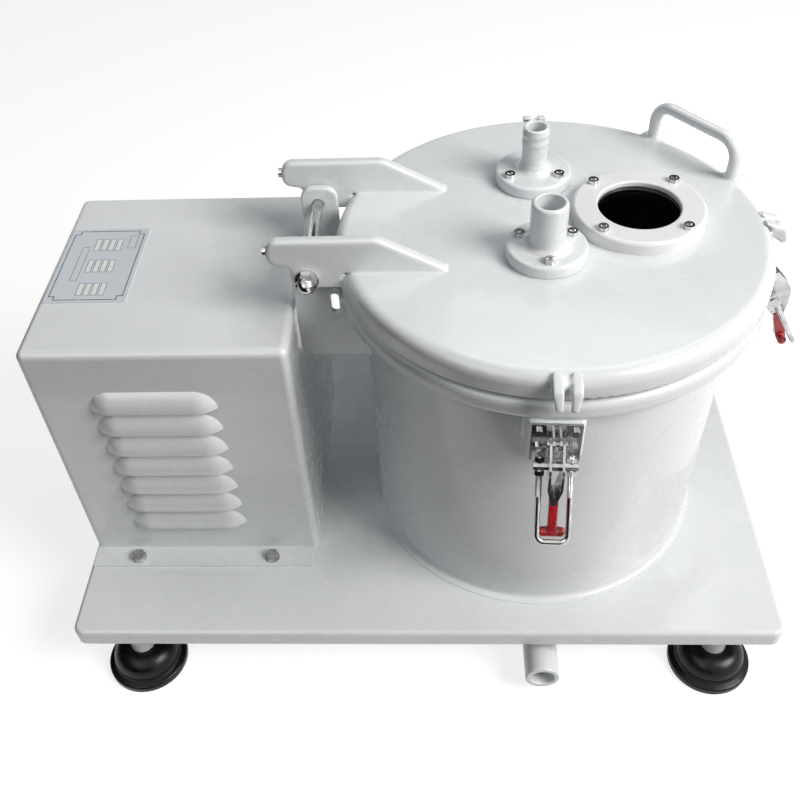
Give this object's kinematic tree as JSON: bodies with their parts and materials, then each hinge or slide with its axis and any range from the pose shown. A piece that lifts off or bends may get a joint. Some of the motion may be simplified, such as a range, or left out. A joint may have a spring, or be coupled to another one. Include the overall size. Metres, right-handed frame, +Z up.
{
  "type": "basket centrifuge",
  "caption": "Belt-driven basket centrifuge: round casing with a hinged, latched lid, hose nozzles and a sight glass, beside a louvred motor cover on a footed base plate.",
  "frame": {"origin": "on the floor, under the middle of the base plate", "axes": "+X from the motor to the drum, +Y to the back, +Z up"},
  "size_m": [0.7821, 0.527, 0.5022],
  "materials": {
    "coated_steel": "glossy off-white plastic coating over welded steel",
    "black_rubber": "moulded, slightly shiny",
    "gasket_rubber": "white silicone, matt",
    "bright_stainless": "polished stainless steel",
    "red_vinyl": "dipped, shiny",
    "sight_glass": "clear, polished",
    "plated_steel": "zinc plated",
    "bearing_steel": "ground",
    "nameplate_aluminium": "satin, etched",
    "black_nylon": "moulded",
    "painted_motor": "blue-grey enamel on cast aluminium",
    "grey_iron": "machined and oiled"
  },
  "bodies": {
    "root": {"base_plate": "coated_steel", "bearing_housing": "grey_iron", "bearing_outer_rings": "bearing_steel", "cable_gland": "black_nylon", "casing_flange": "coated_steel", "casing_floor": "coated_steel", "casing_gasket": "gasket_rubber", "casing_wall": "coated_steel", "cover_bolts": "plated_steel", "drain_pipe": "coated_steel", "drive_belt": "black_rubber", "drive_bolts": "plated_steel", "foot_posts": "coated_steel", "foot_studs": "plated_steel", "hinge_ears": "coated_steel", "latch_bases": "bright_stainless", "latch_pads": "coated_steel", "latch_pivot_pins": "bright_stainless", "latch_screws": "bright_stainless", "motor_cover": "coated_steel", "motor_fan_cover": "painted_motor", "motor_frame": "painted_motor", "motor_mount_plate": "plated_steel", "motor_terminal_box": "painted_motor", "nameplate": "nameplate_aluminium", "rubber_feet": "black_rubber", "spindle_seal": "black_rubber"},
    "lid": {"lid_plate": "coated_steel", "lid_arms": "coated_steel", "stop_screws": "bright_stainless", "lid_forks": "coated_steel", "lid_handle": "coated_steel", "feed_nozzle": "coated_steel", "wash_nozzle": "coated_steel", "lid_screws": "bright_stainless", "sight_ring": "coated_steel", "sight_gasket": "gasket_rubber", "sight_glass": "sight_glass", "hinge_pin": "bright_stainless", "hinge_nuts": "bright_stainless"},
    "basket": {"spindle": "plated_steel", "bearing_inner_rings": "bearing_steel", "bearing_balls": "bearing_steel", "spindle_pulley": "grey_iron", "pulley_nut": "plated_steel", "basket_floor": "bright_stainless", "basket_wall": "bright_stainless", "basket_cap_nut": "bright_stainless"},
    "motor_rotor": {"motor_shaft": "plated_steel", "motor_fan": "black_nylon", "motor_pulley": "grey_iron"},
    "lever_right": {"latch_lever_right": "bright_stainless", "latch_grip_right": "red_vinyl"},
    "u_bolt_right": {"latch_u_bolt_right": "bright_stainless"},
    "lever_front": {"latch_lever_front": "bright_stainless", "latch_grip_front": "red_vinyl"},
    "u_bolt_front": {"latch_u_bolt_front": "bright_stainless"},
    "lever_back": {"latch_lever_back": "bright_stainless", "latch_grip_back": "red_vinyl"},
    "u_bolt_back": {"latch_u_bolt_back": "bright_stainless"}
  },
  "joints": [
    {"name": "lid_hinge", "type": "hinge", "parent": "root", "child": "lid", "pos_m": [-0.1005, 0.004, 0.437], "axis": [0, -1, 0], "range_deg": [0, 100]},
    {"name": "basket_spin", "type": "hinge", "parent": "root", "child": "basket", "pos_m": [0.1275, 0, 0.2], "axis": [0, 0, 1], "continuous": true},
    {"name": "motor_spin", "type": "hinge", "parent": "root", "child": "motor_rotor", "pos_m": [-0.248, 0, 0.2], "axis": [0, 0, 1], "continuous": true},
    {"name": "lever_right_swing", "type": "hinge", "parent": "root", "child": "lever_right", "pos_m": [0.34847, 0.00386, 0.38], "axis": [0.0175, -0.9998, 0], "range_deg": [0, 120]},
    {"name": "u_bolt_right_swing", "type": "hinge", "parent": "lever_right", "child": "u_bolt_right", "pos_m": [0.35347, 0.00394, 0.358], "axis": [-0.0175, 0.9998, 0], "range_deg": [-135, 0]},
    {"name": "lever_front_swing", "type": "hinge", "parent": "root", "child": "lever_front", "pos_m": [0.11786, -0.22079, 0.38], "axis": [-0.999, 0.0436, 0], "range_deg": [0, 120]},
    {"name": "u_bolt_front_swing", "type": "hinge", "parent": "lever_front", "child": "u_bolt_front", "pos_m": [0.11764, -0.22579, 0.358], "axis": [0.999, -0.0436, 0], "range_deg": [-135, 0]},
    {"name": "lever_back_swing", "type": "hinge", "parent": "root", "child": "lever_back", "pos_m": [0.1275, 0.221, 0.38], "axis": [1, 0, 0], "range_deg": [0, 120]},
    {"name": "u_bolt_back_swing", "type": "hinge", "parent": "lever_back", "child": "u_bolt_back", "pos_m": [0.1275, 0.226, 0.358], "axis": [-1, 0, 0], "range_deg": [-135, 0]}
  ],
  "couplings": [
    {"joint": "motor_spin", "follows": "basket_spin", "ratio": 1.4286}
  ]
}
